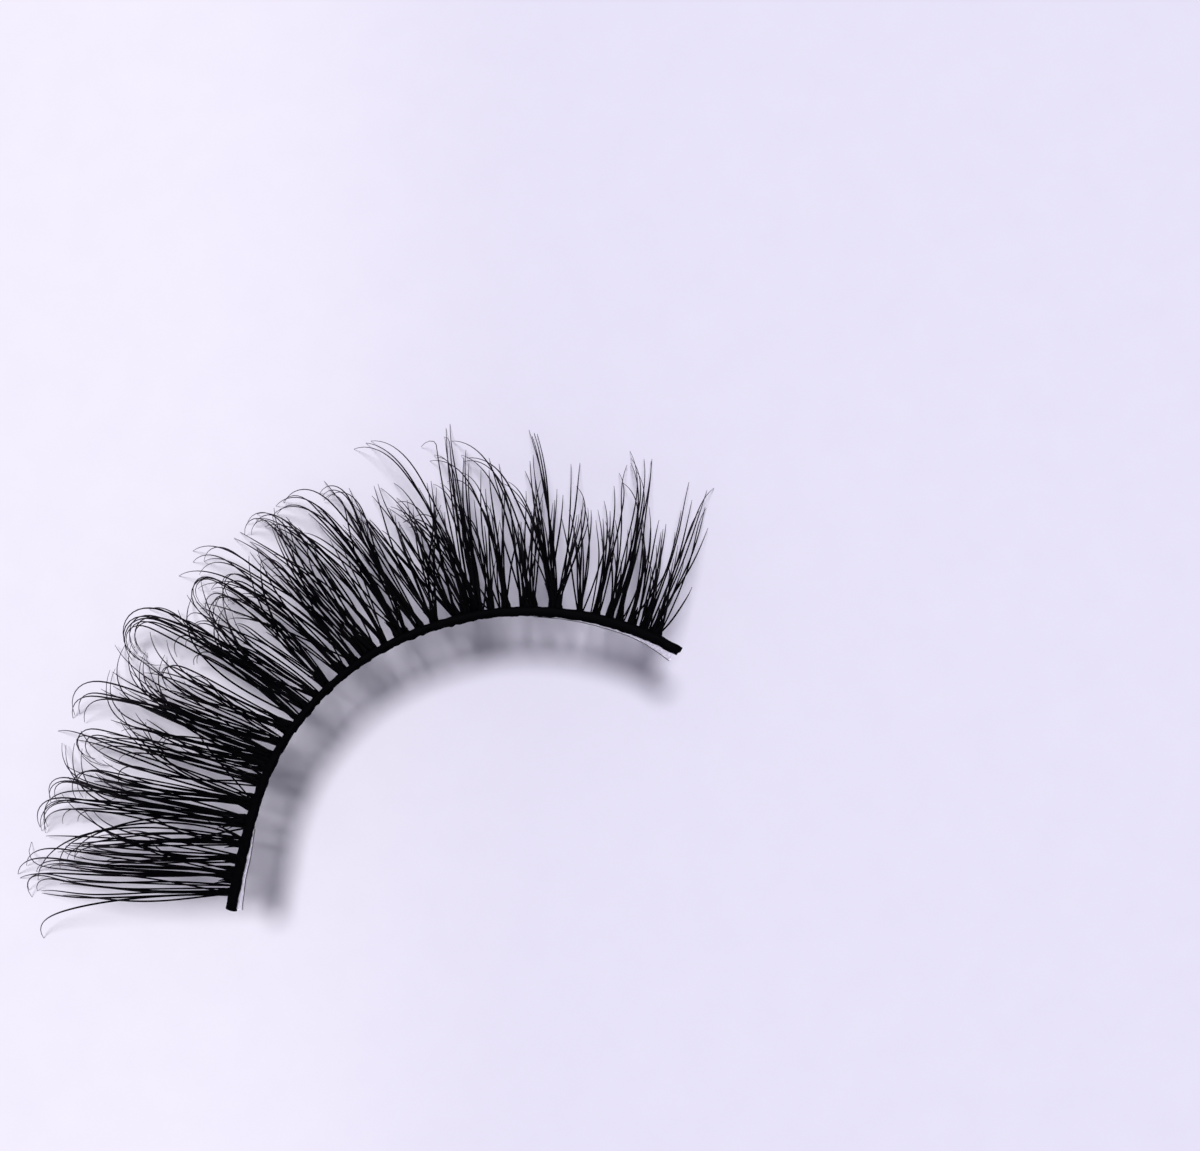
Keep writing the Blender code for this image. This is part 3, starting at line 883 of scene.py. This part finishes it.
# %% Thread along the eye side
THREAD_FROM = 10.5 * MM
THREAD_TO = 22.5 * MM
THREAD_STEPS = 260
THREAD_RADIUS = 0.066 * MM
THREAD_SWING = 0.10 * MM
THREAD_SIDES = 8
THREAD_SINK = 0.03 * MM
THREAD_DEPTH = 0.13 * MM
THREAD_RISE = 0.06 * MM
thread_line = []
for step in range(THREAD_STEPS):
    along = THREAD_FROM + (THREAD_TO - THREAD_FROM) * step / (THREAD_STEPS - 1)
    spot = Vector((along, 0.0, 0.0))
    swing = THREAD_SWING * (0.15 + lump(spot, size_mm=0.55) + 0.6 * lump(spot, size_mm=0.24))
    place = beside_band(along, THREAD_SINK - band_width(along) / 2 - max(swing, 0.0))
    height = BAND_TOP - THREAD_DEPTH + THREAD_RISE * lump(spot, size_mm=0.5)
    thread_line.append((place.real, place.imag, height))
thread_radii = np.full((1, THREAD_STEPS), THREAD_RADIUS)
thread = tube_mesh("edge_thread", [thread_line], thread_radii, THREAD_SIDES)
thread.data.materials.append(BAND_GLUE)
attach(thread, "root")
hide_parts("band")

# %% [markdown]
# ## Dried glue
# Where a strip was peeled off its tray, a little clear glue stays on the eye side of the band: a narrow
# sliver at the outer end and a small triangle at the inner one. The sheet is clear; the dark look of its
# edge, which is what the eye sees first, is painted shade: a thin tube in the black glue finish.

# %% Clear slivers, with dark rims of painted shade
FILM_LEVEL = (BAND_TOP + BAND_FOOT) / 2
FILM_HALF = 0.05 * MM
# along_mm, width_mm
OUTER_FILM = np.array(((0.12, 0.30), (0.5, 0.24), (0.9, 0.22), (1.8, 0.14), (3.2, 0.15), (4.6, 0.03)))
INNER_FILM = np.array(((25.8, 0.02), (28.5, 0.05), (31.2, 0.09), (32.4, 0.18), (33.3, 0.33), (33.9, 0.42)))
FILM_STEPS = 60
FILM_OVERLAP = 0.04 * MM
FILM_SPARE = 0.05 * MM
RIPPLE = 0.02 * MM
RIPPLE_MM = 0.6
PAINTED_SHADE_RIM_RADIUS = 0.028 * MM
PAINTED_SHADE_RIM_SIDES = 6


def film_edge(widths, share, part):
    """Give a place of a film: part 0 is at the band and part 1 at its free rim."""
    along_mm = widths[0, 0] + (widths[-1, 0] - widths[0, 0]) * share
    width = np.interp(along_mm, widths[:, 0], widths[:, 1]) * MM
    ripple = RIPPLE * noise.noise(Vector((along_mm, 1.7, 0.0)) / RIPPLE_MM)
    reach = band_width(along_mm * MM) / 2 - FILM_OVERLAP + (width + ripple + FILM_SPARE) * part
    return beside_band(along_mm * MM, -reach)


def make_film(name, node, widths):
    """Make one sliver of clear glue and its dark rim of painted shade."""
    sheet = []
    rim = []
    for step in range(FILM_STEPS):
        share = step / (FILM_STEPS - 1)
        near = film_edge(widths, share, 0.0)
        free = film_edge(widths, share, 1.0)
        for place, level in ((near, FILM_HALF), (free, FILM_HALF), (free, -FILM_HALF), (near, -FILM_HALF)):
            sheet.append((place.real, place.imag, FILM_LEVEL + level))
        rim.append((free.real, free.imag, FILM_LEVEL))
    mesh = bpy.data.meshes.new(name)
    mesh.from_pydata(sheet, [], tube_faces(1, FILM_STEPS, 4))
    film = bpy.data.objects.new(name, mesh)
    bpy.context.scene.collection.objects.link(film)
    film.data.materials.append(CLEAR_GLUE)
    # Painted shade: the rim is a thin tube in the black glue finish, standing in for the dark look of the
    # clear film's edge.
    radii = np.full((1, FILM_STEPS), PAINTED_SHADE_RIM_RADIUS)
    edge = tube_mesh(f"{name}_rim", [rim], radii, PAINTED_SHADE_RIM_SIDES)
    edge.data.materials.append(BAND_GLUE)
    for piece in (film, edge):
        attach(piece, "root")
        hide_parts(node)


make_film("outer_sliver", "outer_glue_film", OUTER_FILM)
make_film("inner_sliver", "inner_glue_film", INNER_FILM)

# %% [markdown]
# ## Table and light
# The strip lies on plain pale paper under a soft light that comes from the top of the picture, about
# twenty degrees off the vertical. The light's apparent width sets how soft the shadow is: the band
# floats more than eight millimetres above the paper, so its shadow is shifted and blurred. A pale
# sky fills the shadows. The paper's colour also carries painted shade, which greys it towards the
# inner corner's side.

# %% Paper, with painted shade that greys it towards the inner corner's side
PAINTED_SHADE_FROM = -12.0 * MM
PAINTED_SHADE_TO = 14.0 * MM
PAPER_SIZE = 3.0
bpy.ops.mesh.primitive_plane_add(size=PAPER_SIZE, location=(0.0, 0.0, 0.0))
paper = bpy.context.object
paper.name = "paper"
finish, tree, shader = new_finish("pale_paper")
fibres = add_noise(tree, feature_mm=2.5, detail=6.0)
colour = add_ramp(tree, fibres.outputs["Fac"], (
    (0.3, (0.886, 0.877, 0.892)),
    (0.7, (0.902, 0.895, 0.906)),
))
place = tree.nodes.new("ShaderNodeTexCoord")
turned = tree.nodes.new("ShaderNodeMapping")
turned.inputs["Rotation"].default_value = (0.0, 0.0, -CAMERA_TURN)
tree.links.new(place.outputs["Object"], turned.inputs["Vector"])
split = tree.nodes.new("ShaderNodeSeparateXYZ")
tree.links.new(turned.outputs["Vector"], split.inputs["Vector"])
# Painted shade: from here the paper's colour is multiplied darker and bluer towards the inner corner's
# side, standing in for shadow and light falloff on that side.
painted_shade_fade = tree.nodes.new("ShaderNodeMapRange")
painted_shade_fade.interpolation_type = "SMOOTHSTEP"
painted_shade_fade.inputs["From Min"].default_value = PAINTED_SHADE_FROM
painted_shade_fade.inputs["From Max"].default_value = PAINTED_SHADE_TO
tree.links.new(split.outputs["X"], painted_shade_fade.inputs["Value"])
shade = tree.nodes.new("ShaderNodeMix")
shade.data_type = "RGBA"
shade.blend_type = "MULTIPLY"
shade.inputs["B"].default_value = (0.885, 0.885, 0.93, 1.0)
tree.links.new(painted_shade_fade.outputs["Result"], shade.inputs["Factor"])
tree.links.new(colour, shade.inputs["A"])
tree.links.new(shade.outputs["Result"], shader.inputs["Base Color"])
shader.inputs["Roughness"].default_value = 0.9
shader.inputs["Specular IOR Level"].default_value = 0.1
paper.data.materials.append(finish)
print("paper:", PAPER_SIZE, "m wide")

# %% Light
KEY_OFF_VERTICAL = math.radians(19.0)
key = bpy.data.lights.new("soft_key", "SUN")
key.energy = 2.63
key.angle = math.radians(13.0)
key.color = (1.0, 0.967, 1.069)
lamp = bpy.data.objects.new("soft_key", key)
top_of_picture = 1j * np.exp(1j * CAMERA_TURN) * math.tan(KEY_OFF_VERTICAL)
towards = Vector((top_of_picture.real, top_of_picture.imag, 1.0)).normalized()
lamp.rotation_euler = towards.to_track_quat("Z", "Y").to_euler()
bpy.context.scene.collection.objects.link(lamp)

world = bpy.data.worlds.new("pale_sky")
world.use_nodes = True
sky = world.node_tree.nodes["Background"]
sky.inputs["Color"].default_value = (0.81, 0.77, 1.0, 1.0)
sky.inputs["Strength"].default_value = 0.28
bpy.context.scene.world = world
bpy.context.scene.view_settings.view_transform = "Standard"
print("key light:", round(math.degrees(key.angle), 1), "degrees wide, strength", round(key.energy, 2))
